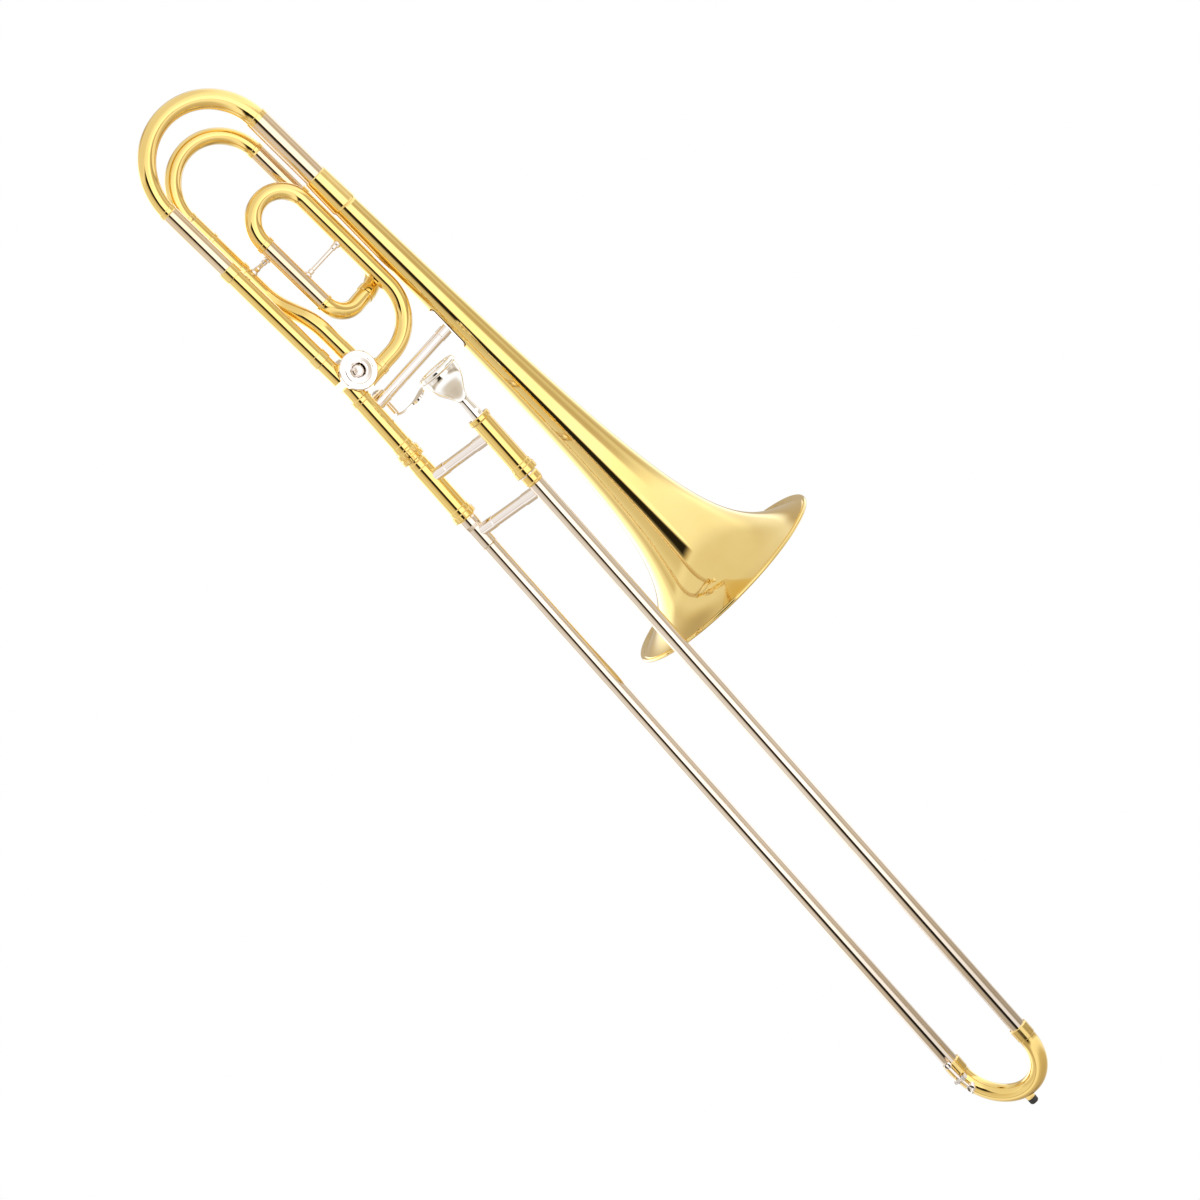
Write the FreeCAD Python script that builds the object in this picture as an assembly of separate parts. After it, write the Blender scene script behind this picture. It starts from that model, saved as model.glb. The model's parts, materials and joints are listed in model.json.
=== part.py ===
import FreeCAD, Part
import math
import os

# Tenor trombone with an F attachment, in millimetres.
#
# Row frame: +X runs along the hand slide towards its crook, +Z is up, and the bell section's plane
# is the XZ plane with the bell above the slide. The origin is on the lower slide leg's axis, in the
# middle of the nut that locks the hand slide to the bell section.
#
# Bell frame: the bell section is tilted by BELL_TILT about the valve. Its coordinates are u, along
# the bell towards its mouth, y, the row's own Y, and w, across the bell section from the neckpipe
# up to the bell. Its origin is on the neckpipe's line, below the middle of the valve, NECK_Z above
# the hand slide's axis.

V = FreeCAD.Vector
os.makedirs("parts", exist_ok=True)

# ---------------------------------------------------------------- driving dimensions
VALVE_X = -84.5            # valve's place along the hand slide
NECK_Z = -1.95             # neckpipe's height there, over the hand slide's axis
BELL_TILT = 4.285            # degrees between the bell section and the hand slide
LEG_SPACING = 117.5        # neckpipe axis to bell axis
SLIDE_SPACING = 84.0       # hand slide's lower axis to its upper axis
SLIDE_ANGLE = 58.4         # degrees from the bell's plane to the hand slide's plane
WALL = 0.6                 # tube wall of the bell section
GAP = 0.3                  # air left between pieces that move past each other
FIT = 0.06                 # radial clearance of a running fit

RIM_RADIUS = 102.2         # bell's mouth, outside its rolled edge
RIM_U = 369.0
FLARE_START_U = 245.0      # bell's two seams
THROAT_START_U = 150.0
BELL_TAIL_U = -108.0
BELL_WALL = 0.6
RIM_BEAD_R = 1.9
RIM_WIRE_R = 1.15
HORN_SCALE = 791.0         # horn law: radius = scale / (depth + offset) ** power
HORN_OFFSET = 20.3
HORN_POWER = 0.68
HORN_END_DEPTH = 370.0     # beyond this depth the bell is a plain cone

SLEEVE_START_U = -207.4    # tuning slide's outer sleeves
SLEEVE_END_U = -136.0
BELL_SLEEVE_R = 10.2
NECK_SLEEVE_R = 7.9
BOW_CENTRE_U = -209.0
BOW_BELL_R = 9.5           # main bow's tube, at its bell end and at its neck end
BOW_NECK_R = 7.6
NECKPIPE_R = 8.1

F_PLANE_Y = 19.0           # plane of the large F bow, behind the bell's plane
F_LOW_W = 14.1
F_HIGH_W = 102.3
F_TUBE_R = 7.6
F_BOW_R = 7.4
F_BOW_U = -190.7
F_SLEEVE_HIGH_END_U = -136.9
F_SLEEVE_LOW_END_U = -129.2
LOOP_LOW_W = 40.2          # small F loop, in the bell's plane
LOOP_HIGH_W = 94.1
LOOP_BOW_U = -133.1
RETURN_BOW_U = -37.7
LOWER_BEND_U = -90.6       # double bend of the lower F tube
UPPER_BEND_U = -55.3
LOOP_BRACE_U = -86.1
SIDE_BRACE_U = -120.5

VALVE_W = 12.6             # rotor axis above the neckpipe's line
PORT_W = 21.6              # upper left port
PORT_U = 13.2              # upper right port
CASING_R = 16.4
CHAMBER_R = 14.6
CASING_FRONT_Y = -15.4
CASING_BACK_Y = 14.5
ROTOR_HALF = 11.0
PORT_BORE_R = 6.4
KNUCKLE_R = 7.9
PASSAGE_R = 5.5
SPINDLE_R = 3.0
CAP_R = 17.4
STOP_PIN_REACH = 6.5
STOP_PLANE_Y = 16.5
ROD_PLANE_Y = 19.4

LEVER_X = -55.0            # thumb lever's hinge
LEVER_Z = 20.4
CRANK_REACH = 19.0
CRANK_REST = 14.0          # degrees from straight down
PADDLE_X = -32.5

BRACE_U = 34.4             # bell brace
BRACE_R = 5.2
SOCKET_R = 5.7             # sockets of the bell brace and of the hand slide's braces
SADDLE_LENGTH = 45.0
SADDLE_WIDTH = 9.0

RECEIVER_R = 9.2
RECEIVER_START_X = -66.5
NUT_R = 11.1
BARREL_R = 9.4
BARREL_START_X = 14.0
BARREL_END_X = 67.0
BARREL_BORE_R = 8.4
INNER_BRACE_X = 27.7
OUTER_BRACE_X = 90.7
OUTER_TUBE_R = 7.2
SLEEVE_R = 7.9
OUTER_BORE_R = 6.9
OUTER_START_X = 40.0
INNER_TUBE_R = 6.6
STOCKING_R = OUTER_BORE_R - FIT
INNER_BORE_R = 6.2
STOCKING_START_X = 630.0
INNER_END_X = 735.0
CROOK_START_X = 739.0
CROOK_CENTRE_X = 745.0
CROOK_TUBE_R = 8.1

RIM_X = -47.0              # mouthpiece rim
CUP_RIM_R = 18.5

KEY_SEAT_X = 758.4         # water key
KEY_PIVOT_X = 746.5
KEY_ANGLE = 52.0           # degrees from straight down towards the front

TILT = math.radians(BELL_TILT)
SLIDE_RISE = math.radians(SLIDE_ANGLE)
X_AXIS = V(1, 0, 0)
Y_AXIS = V(0, 1, 0)
U_AXIS = V(math.cos(TILT), 0, math.sin(TILT))
W_AXIS = V(-math.sin(TILT), 0, math.cos(TILT))
ACROSS = V(0, -math.sin(SLIDE_RISE), math.cos(SLIDE_RISE))
SLIDE_NORMAL = X_AXIS.cross(ACROSS)
LOWER = V(0, 0, 0)
UPPER = ACROSS * SLIDE_SPACING
MIDDLE = ACROSS * (SLIDE_SPACING / 2)

parts = {}


# ---------------------------------------------------------------- helpers
def bell_point(u, y, w):
    """A point of the bell frame, in the row frame."""
    return V(VALVE_X, 0, NECK_Z) + U_AXIS * u + Y_AXIS * y + W_AXIS * w


def rod(start, end, radius):
    """A solid cylinder between two points."""
    way = end - start
    return Part.makeCylinder(radius, way.Length, start, way)


def tube(start, end, outer, inner):
    """A straight tube between two points."""
    return rod(start, end, outer).cut(rod(start, end, inner))


def turned(outline, start, axis):
    """A solid turned about an axis: the outline's points are (distance along axis, radius)."""
    plane = FreeCAD.Placement(start, FreeCAD.Rotation(X_AXIS, axis))
    side = plane.Rotation.multVec(V(0, 0, 1))
    points = [start + axis * along + side * radius for along, radius in outline]
    face = Part.Face(Part.makePolygon(points + [points[0]]))
    return face.revolve(start, axis, 360)


def path(points, bends):
    """Straight runs joined by tangent arcs: bends holds one radius for each inner point."""
    edges = []
    last = points[0]
    for index, bend in enumerate(bends):
        corner = points[index + 1]
        arriving = (corner - points[index]).normalize()
        leaving = (points[index + 2] - corner).normalize()
        half_turn = arriving.getAngle(leaving) / 2
        reach = bend * math.tan(half_turn)
        first = corner - arriving * reach
        second = corner + leaving * reach
        inward = (leaving - arriving).normalize()
        middle = corner + inward * (bend / math.cos(half_turn) - bend)
        if (first - last).Length > 0.01:
            edges.append(Part.makeLine(last, first))
        edges.append(Part.Arc(first, middle, second).toShape())
        last = second
    if (points[-1] - last).Length > 0.01:
        edges.append(Part.makeLine(last, points[-1]))
    return Part.Wire(edges)


def swept(points, bends, radius):
    """A round solid along a path."""
    spine = path(points, bends)
    circle = Part.Circle(points[0], points[1] - points[0], radius).toShape()
    return spine.makePipeShell([Part.Wire([circle])], True, False)


def bent_tube(points, bends, outer, wall=WALL):
    """A bent tube along a path."""
    return swept(points, bends, outer).cut(swept(points, bends, outer - wall))


def bow(centre, along, across, radius, start_r, end_r):
    """A solid half ring that bulges along one axis, from +across to -across, and can taper."""
    first = centre + across * radius
    last = centre - across * radius
    spine = Part.Wire([Part.Arc(first, centre + along * radius, last).toShape()])
    builder = Part.BRepOffsetAPI.MakePipeShell(spine)
    builder.add(Part.Wire([Part.Circle(first, along, start_r).toShape()]))
    builder.add(Part.Wire([Part.Circle(last, along * -1, end_r).toShape()]))
    builder.build()
    builder.makeSolid()
    return builder.shape()


def hollow_bow(centre, along, across, radius, start_r, end_r, wall=WALL):
    """A half ring of tube."""
    outside = bow(centre, along, across, radius, start_r, end_r)
    return outside.cut(bow(centre, along, across, radius, start_r - wall, end_r - wall))


def ring(centre, axis, length, outer, inner, round_off=0.5):
    """A ferrule: a short ring with softened ends, centred on a point."""
    half = length / 2
    outline = [(-half, inner), (-half, outer - round_off), (-half + round_off, outer)]
    outline += [(half - round_off, outer), (half, outer - round_off), (half, inner)]
    return turned(outline, centre, axis)


def box(low, high):
    """A box between two corners of the row frame."""
    size = V(*high) - V(*low)
    return Part.makeBox(size.x, size.y, size.z, V(*low))


def group(shapes):
    """Separate solids that share one node."""
    return Part.makeCompound(shapes)


# ---------------------------------------------------------------- bell
def horn_radius(depth):
    """Bell's outer radius at a depth behind the rim."""
    if depth <= HORN_END_DEPTH:
        return HORN_SCALE / (depth + HORN_OFFSET) ** HORN_POWER
    knee = horn_radius(HORN_END_DEPTH)
    slope = HORN_POWER * knee / (HORN_END_DEPTH + HORN_OFFSET)
    return knee - slope * (depth - HORN_END_DEPTH)


def make_bell():
    bead_depth = RIM_BEAD_R
    bead_radius = RIM_RADIUS - RIM_BEAD_R
    tail_depth = RIM_U - BELL_TAIL_U
    steps = 22
    outer = []
    inner = []
    for step in range(steps + 1):
        depth = 0.7 + (tail_depth - 0.7) * (step / steps) ** 2.6
        slope = (horn_radius(depth + 0.05) - horn_radius(depth - 0.05)) / 0.1
        lean = math.sqrt(1 + slope * slope)
        radius = horn_radius(depth)
        outer.append(bell_point(RIM_U - depth, 0, LEG_SPACING + radius))
        inside_depth = depth + BELL_WALL * slope / lean
        inside_radius = radius - BELL_WALL / lean
        inner.append(bell_point(RIM_U - inside_depth, 0, LEG_SPACING + inside_radius))
    outside = Part.BSplineCurve()
    outside.interpolate(outer)
    inside = Part.BSplineCurve()
    inside.interpolate(inner)
    edges = [outside.toShape(), Part.makeLine(outer[-1], inner[-1])]
    edges += [inside.toShape(), Part.makeLine(inner[0], outer[0])]
    face = Part.Face(Part.Wire(Part.__sortEdges__(edges)))
    axis_point = bell_point(0, 0, LEG_SPACING)
    shell = face.revolve(axis_point, U_AXIS, 360)
    bead_centre = bell_point(RIM_U - bead_depth, 0, LEG_SPACING)
    bead = Part.makeTorus(bead_radius, RIM_BEAD_R, bead_centre, U_AXIS)
    hollow = Part.makeTorus(bead_radius, RIM_WIRE_R + 0.05, bead_centre, U_AXIS)
    whole = shell.fuse(bead).cut(hollow)
    spans = {"bell_stem": (BELL_TAIL_U - 1, THROAT_START_U), "bell_throat": (THROAT_START_U, FLARE_START_U),
             "bell_flare": (FLARE_START_U, RIM_U + 1)}
    for name, (start_u, end_u) in spans.items():
        slab = rod(bell_point(start_u, 0, LEG_SPACING), bell_point(end_u, 0, LEG_SPACING), RIM_RADIUS + 5)
        parts[name] = whole.common(slab)
    parts["bell_rim_wire"] = Part.makeTorus(bead_radius, RIM_WIRE_R, bead_centre, U_AXIS)


# ---------------------------------------------------------------- tuning slide and neckpipe
def make_tuning_slide():
    high = bell_point(BOW_CENTRE_U, 0, LEG_SPACING)
    low = bell_point(BOW_CENTRE_U, 0, 0)
    centre = (high + low) * 0.5
    radius = LEG_SPACING / 2
    backward = U_AXIS * -1
    parts["main_bow"] = hollow_bow(centre, backward, W_AXIS, radius, BOW_BELL_R, BOW_NECK_R)
    sleeves = []
    legs = []
    collars = []
    for start, sleeve_r, bow_r in ((high, BELL_SLEEVE_R, BOW_BELL_R), (low, NECK_SLEEVE_R, BOW_NECK_R)):
        sleeve_start = start + U_AXIS * (SLEEVE_START_U - BOW_CENTRE_U)
        sleeve_end = start + U_AXIS * (SLEEVE_END_U - BOW_CENTRE_U)
        leg_end = sleeve_end - U_AXIS * 3
        leg_r = sleeve_r - WALL - FIT
        sleeves.append(tube(sleeve_start, sleeve_end, sleeve_r, sleeve_r - WALL))
        legs.append(tube(start, leg_end, leg_r, leg_r - WALL))
        collar_length = SLEEVE_START_U - BOW_CENTRE_U - GAP
        outline = [(-3.5, bow_r), (-3.5, bow_r + 0.5), (-3.0, bow_r + 0.8), (0, bow_r + 0.8)]
        outline += [(collar_length, sleeve_r), (collar_length, leg_r), (0, leg_r), (0, bow_r)]
        collars.append(turned(outline, start, U_AXIS).cut(parts["main_bow"]))
    parts["tuning_sleeves"] = group(sleeves)
    parts["tuning_legs"] = group(legs)
    parts["main_bow_ferrules"] = group(collars)
    parts["neckpipe"] = tube(bell_point(SLEEVE_END_U, 0, 0), bell_point(-26, 0, 0),
                             NECKPIPE_R, NECKPIPE_R - WALL)


def bell_section_ferrules():
    """Brass rings at the joints of the bell section's tubes."""
    tail_r = horn_radius(RIM_U - BELL_TAIL_U)
    lap = 4.0
    span = BELL_TAIL_U - SLEEVE_END_U
    lap_r = horn_radius(RIM_U - BELL_TAIL_U - lap) + 0.03
    outline = [(-lap, BELL_SLEEVE_R), (-lap, BELL_SLEEVE_R + 0.7), (1 - lap, BELL_SLEEVE_R + 1.1)]
    outline += [(span + lap - 1.5, tail_r + 1.2), (span + lap, tail_r + 0.7), (span + lap, lap_r)]
    outline += [(span, tail_r + 0.03), (span, BELL_SLEEVE_R - WALL), (0, BELL_SLEEVE_R - WALL)]
    outline += [(0, BELL_SLEEVE_R)]
    rings = [turned(outline, bell_point(SLEEVE_END_U, 0, LEG_SPACING), U_AXIS)]
    fall = (bell_point(0, 0, LOOP_LOW_W) - bell_point(0, F_PLANE_Y, F_HIGH_W)).normalize()
    bend_top = bell_point(RETURN_BOW_U, F_PLANE_Y, F_HIGH_W)
    rings.append(ring(bend_top + fall * 25.5, fall, 8, F_TUBE_R + 0.8, F_TUBE_R))
    rings.append(ring(bell_point(PORT_U, 0, 34.5), W_AXIS, 5, F_TUBE_R + 0.9, F_TUBE_R))
    joints = [(SLEEVE_END_U, 0, 0, NECKPIPE_R, 10), (-30, 0, 0, NECKPIPE_R, 9),
              (F_SLEEVE_HIGH_END_U, F_PLANE_Y, F_HIGH_W, F_TUBE_R + 0.3, 7),
              (F_SLEEVE_LOW_END_U, F_PLANE_Y, F_LOW_W, F_TUBE_R + 0.3, 6),
              (F_SLEEVE_LOW_END_U - 37, F_PLANE_Y, F_LOW_W, F_TUBE_R + 0.3, 4),
              (LOOP_BOW_U + 2.7, 0, LOOP_LOW_W, F_TUBE_R, 5),
              (RETURN_BOW_U - 22, 0, LOOP_LOW_W, F_TUBE_R, 3)]
    for u, y, w, radius, length in joints:
        rings.append(ring(bell_point(u, y, w), U_AXIS, length, radius + 0.8, radius))
    return rings


# ---------------------------------------------------------------- F attachment
def make_f_tubing():
    backward = U_AXIS * -1
    high = bell_point(F_BOW_U, F_PLANE_Y, F_HIGH_W)
    low = bell_point(F_BOW_U, F_PLANE_Y, F_LOW_W)
    centre = (high + low) * 0.5
    radius = (F_HIGH_W - F_LOW_W) / 2
    parts["f_bow"] = hollow_bow(centre, backward, W_AXIS, radius, F_BOW_R, F_BOW_R)
    sleeve_r = F_TUBE_R + 0.3
    leg_r = sleeve_r - WALL - FIT
    legs = []
    collars = []
    for start, end_u, name in ((high, F_SLEEVE_HIGH_END_U, "f_sleeve_upper"),
                               (low, F_SLEEVE_LOW_END_U, "f_sleeve_lower")):
        sleeve_start = start + U_AXIS * 2
        sleeve_end = start + U_AXIS * (end_u - F_BOW_U)
        parts[name] = tube(sleeve_start, sleeve_end, sleeve_r, sleeve_r - WALL)
        legs.append(tube(start, sleeve_end - U_AXIS * 3, leg_r, leg_r - WALL))
        outline = [(-3, F_BOW_R), (-3, F_BOW_R + 0.5), (-2.5, F_BOW_R + 0.8), (0, F_BOW_R + 0.8)]
        outline += [(2 - GAP, sleeve_r), (2 - GAP, leg_r), (0, leg_r), (0, F_BOW_R)]
        collars.append(turned(outline, start, U_AXIS).cut(parts["f_bow"]))
    parts["f_tuning_legs"] = group(legs)
    parts["f_bow_ferrules"] = group(collars)

    rear_end_u = RETURN_BOW_U - 22
    parts["f_rear_tube"] = tube(bell_point(F_SLEEVE_HIGH_END_U, F_PLANE_Y, F_HIGH_W),
                                bell_point(rear_end_u, F_PLANE_Y, F_HIGH_W), F_TUBE_R, F_TUBE_R - WALL)
    return_path = [bell_point(rear_end_u, F_PLANE_Y, F_HIGH_W),
                   bell_point(RETURN_BOW_U, F_PLANE_Y, F_HIGH_W),
                   bell_point(RETURN_BOW_U, 0, LOOP_LOW_W),
                   bell_point(rear_end_u, 0, LOOP_LOW_W)]
    parts["f_return_bow"] = bent_tube(return_path, [21, 22], F_TUBE_R)
    parts["f_loop_leg"] = tube(bell_point(rear_end_u, 0, LOOP_LOW_W),
                               bell_point(LOOP_BOW_U, 0, LOOP_LOW_W), F_TUBE_R, F_TUBE_R - WALL)
    loop_centre = bell_point(LOOP_BOW_U, 0, (LOOP_LOW_W + LOOP_HIGH_W) / 2)
    loop_radius = (LOOP_HIGH_W - LOOP_LOW_W) / 2
    parts["f_loop_bow"] = hollow_bow(loop_centre, backward, W_AXIS, loop_radius, F_TUBE_R, F_TUBE_R)
    curve = [bell_point(LOOP_BOW_U, 0, LOOP_HIGH_W), bell_point(PORT_U, 0, LOOP_HIGH_W),
             bell_point(PORT_U, 0, 32)]
    parts["f_valve_curve"] = bent_tube(curve, [44], F_TUBE_R)
    lower = [bell_point(F_SLEEVE_LOW_END_U, F_PLANE_Y, F_LOW_W), bell_point(LOWER_BEND_U, F_PLANE_Y, F_LOW_W),
             bell_point(UPPER_BEND_U, 0, PORT_W), bell_point(-24, 0, PORT_W)]
    parts["f_lower_tube"] = bent_tube(lower, [50, 50], F_TUBE_R)


def strut(start, end, rod_r, socket_r, start_r, end_r):
    """A small brace between two tube axes: a rod with a turned socket at each tube."""
    way = (end - start).normalize()
    first = start + way * (start_r - 1)
    last = end - way * (end_r - 1)
    length = (last - first).Length
    outline = [(0, 0), (0, socket_r + 1.2), (1.6, socket_r + 1.2), (3.2, socket_r), (6.5, socket_r)]
    outline += [(7.5, rod_r), (length - 7.5, rod_r), (length - 6.5, socket_r)]
    outline += [(length - 3.2, socket_r), (length - 1.6, socket_r + 1.2), (length, socket_r + 1.2)]
    outline += [(length, 0)]
    return turned(outline, first, way)


def make_f_braces():
    loop = strut(bell_point(LOOP_BRACE_U, 0, LOOP_LOW_W), bell_point(LOOP_BRACE_U, 0, LOOP_HIGH_W),
                 1.9, 2.6, F_TUBE_R, F_TUBE_R)
    side = strut(bell_point(SIDE_BRACE_U, F_PLANE_Y, F_LOW_W), bell_point(SIDE_BRACE_U, 0, LOOP_LOW_W),
                 2.0, 2.6, F_TUBE_R, F_TUBE_R)
    pair = group([loop, side])
    for u, y, w in ((0, 0, LOOP_LOW_W), (0, 0, LOOP_HIGH_W), (0, F_PLANE_Y, F_LOW_W)):
        pair = pair.cut(rod(bell_point(-150, y, w), bell_point(-70, y, w), F_TUBE_R))
    parts["f_braces"] = pair


# ---------------------------------------------------------------- valve
def valve_point(u, y, w):
    """A point measured from the rotor's centre, in the row frame."""
    return bell_point(u, y, VALVE_W + w)


def knuckles(radius, inset):
    """The four port tubes, or their bores, up to an inset short of the rotor's middle."""
    shapes = [rod(bell_point(-26, 0, 0), bell_point(-inset, 0, 0), radius),
              rod(V(RECEIVER_START_X + 1, 0, 0), V(VALVE_X + inset, 0, 0), radius),
              rod(bell_point(-24, 0, PORT_W), bell_point(-inset, 0, PORT_W), radius),
              rod(bell_point(PORT_U, 0, 32), bell_point(PORT_U, 0, VALVE_W + inset), radius)]
    return shapes[0].multiFuse(shapes[1:])


def make_valve():
    body = rod(valve_point(0, CASING_FRONT_Y, 0), valve_point(0, CASING_BACK_Y, 0), CASING_R)
    body = body.fuse(knuckles(KNUCKLE_R, 4))
    body = body.cut(knuckles(PORT_BORE_R, 6.5))
    chamber = rod(valve_point(0, CASING_FRONT_Y, 0), valve_point(0, ROTOR_HALF + GAP, 0), CHAMBER_R)
    spindle_hole = rod(valve_point(0, 0, 0), valve_point(0, CASING_BACK_Y, 0), SPINDLE_R + FIT)
    parts["valve_casing"] = body.cut(chamber).cut(spindle_hole)

    core = rod(valve_point(0, -ROTOR_HALF, 0), valve_point(0, ROTOR_HALF, 0), CHAMBER_R - FIT)
    for side in (-1, 1):
        centre = valve_point(0, 0, side * CHAMBER_R * math.sqrt(2))
        core = core.cut(Part.makeTorus(CHAMBER_R, PASSAGE_R, centre, Y_AXIS))
    spindle = rod(valve_point(0, -14, 0), valve_point(0, -ROTOR_HALF, 0), SPINDLE_R)
    tail = rod(valve_point(0, ROTOR_HALF, 0), valve_point(0, STOP_PLANE_Y, 0), SPINDLE_R)
    parts["rotor"] = core.fuse([spindle, tail])

    plate_y = -ROTOR_HALF - GAP
    parts["bearing_plate"] = turned(
        [(0, SPINDLE_R + FIT), (0, CHAMBER_R), (2.2, CHAMBER_R), (2.2, 6.0), (3.6, 5.8),
         (4.4, 4.4), (3.6, 3.6), (3.2, 0), (2.7, 0), (2.7, SPINDLE_R + FIT)],
        valve_point(0, plate_y, 0), Y_AXIS * -1)

    cap = [(-11.4, CASING_R + FIT), (-11.4, CAP_R - 0.6), (-12.0, CAP_R), (-16.4, CAP_R)]
    cap += [(-17.2, CAP_R - 0.9), (-17.2, 13.2), (-16.9, 12.8), (-16.9, 12.2), (-17.3, 11.6)]
    cap += [(-17.6, 8.4), (-17.2, 6.9), (-16.6, 6.5), (-15.8, 6.5), (-15.8, CASING_R + FIT)]
    parts["valve_cap"] = turned([(-along, radius) for along, radius in cap],
                                valve_point(0, 0, 0), Y_AXIS * -1)


def make_stop_parts():
    """Stop plate with its two corks, and the stop arm; gives back the plate's screws."""
    hub = valve_point(0, 0, 0)

    def at(angle, reach, y):
        """A point at an angle from straight down, turning towards +X, about the rotor's axis."""
        return hub + V(math.sin(angle) * reach, y, -math.cos(angle) * reach)

    plate = rod(at(0, 0, CASING_BACK_Y), at(0, 0, STOP_PLANE_Y - GAP), 15.2)
    plate = plate.cut(rod(at(0, 0, CASING_BACK_Y), at(0, 0, STOP_PLANE_Y), 4.2))
    lug_reach = 11.0
    rest = math.radians(45)
    corks = []
    for side in (-1, 1):
        angle = rest + math.pi + side * math.radians(45) + side * math.radians(28)
        angle -= math.radians(45)
        corks.append(rod(at(angle, lug_reach, STOP_PLANE_Y - GAP), at(angle, lug_reach, 19.0), 2.3))
    plate_screws = []
    for angle in (math.radians(30), math.radians(-30)):
        head = rod(at(angle, 12.2, STOP_PLANE_Y - GAP), at(angle, 12.2, 17.6), 1.9)
        slot = box((-3, 17.1, -0.25), (3, 18, 0.25))
        slot.translate(at(angle, 12.2, 0))
        plate_screws.append(head.cut(slot))
    parts["stop_plate"] = plate
    parts["stop_corks"] = group(corks)
    arm_low = STOP_PLANE_Y
    arm_high = ROD_PLANE_Y - GAP
    pin = at(rest, STOP_PIN_REACH, 0)
    arm = rod(at(0, 0, arm_low), at(0, 0, arm_high), 4.6)
    arm = arm.fuse(rod(pin + Y_AXIS * arm_low, pin + Y_AXIS * arm_high, 2.8))
    lug = box((-2.2, arm_low, 0), (2.2, arm_high, 12.5))
    lug.rotate(V(0, 0, 0), Y_AXIS, -45)
    lug.translate(hub)
    arm = arm.fuse(lug)
    arm = arm.fuse(rod(pin + Y_AXIS * arm_high, pin + Y_AXIS * 22.1, 1.2))
    parts["stop_arm"] = arm.removeSplitter()
    screw = rod(at(0, 0, arm_high), at(0, 0, arm_high + 1.7), 2.3)
    slot = box((-3, arm_high + 1.1, -0.3), (3, arm_high + 2, 0.3))
    slot.translate(hub)
    parts["stop_arm_screw"] = screw.cut(slot)
    return plate_screws


def crank_pin():
    """Lever's crank pin at rest, in the XZ plane."""
    lean = math.radians(CRANK_REST)
    return V(LEVER_X + CRANK_REACH * math.sin(lean), 0, LEVER_Z - CRANK_REACH * math.cos(lean))


def make_linkage():
    hub = valve_point(0, 0, 0)
    half = math.sqrt(0.5) * STOP_PIN_REACH
    first = V(hub.x + half, 0, hub.z - half)
    last = crank_pin()
    low = Y_AXIS * ROD_PLANE_Y
    high = Y_AXIS * (ROD_PLANE_Y + 2.2)
    bar = rod(first + low, first + high, 2.7).fuse(rod(last + low, last + high, 4.0))
    flat = box((0, ROD_PLANE_Y, -1.5), ((last - first).Length, ROD_PLANE_Y + 2.2, 1.5))
    flat.rotate(V(0, 0, 0), Y_AXIS, math.degrees(math.atan2(first.z - last.z, last.x - first.x)))
    flat.translate(first)
    bar = bar.fuse(flat).cut(rod(first, first + Y_AXIS * 30, 1.2 + FIT))
    # The front eye is a slot, because the crank and the stop arm turn on different radii.
    eye_drop = 0.67
    slot = rod(last + V(0, 0, eye_drop + 0.95), last + V(0, 30, eye_drop + 0.95), 1.85)
    slot = slot.fuse(rod(last + V(0, 0, eye_drop - 0.95), last + V(0, 30, eye_drop - 0.95), 1.85))
    slot = slot.fuse(box((last.x - 1.85, 0, last.z + eye_drop - 0.95),
                         (last.x + 1.85, 30, last.z + eye_drop + 0.95)))
    parts["linkage_rod"] = bar.cut(slot)


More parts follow.
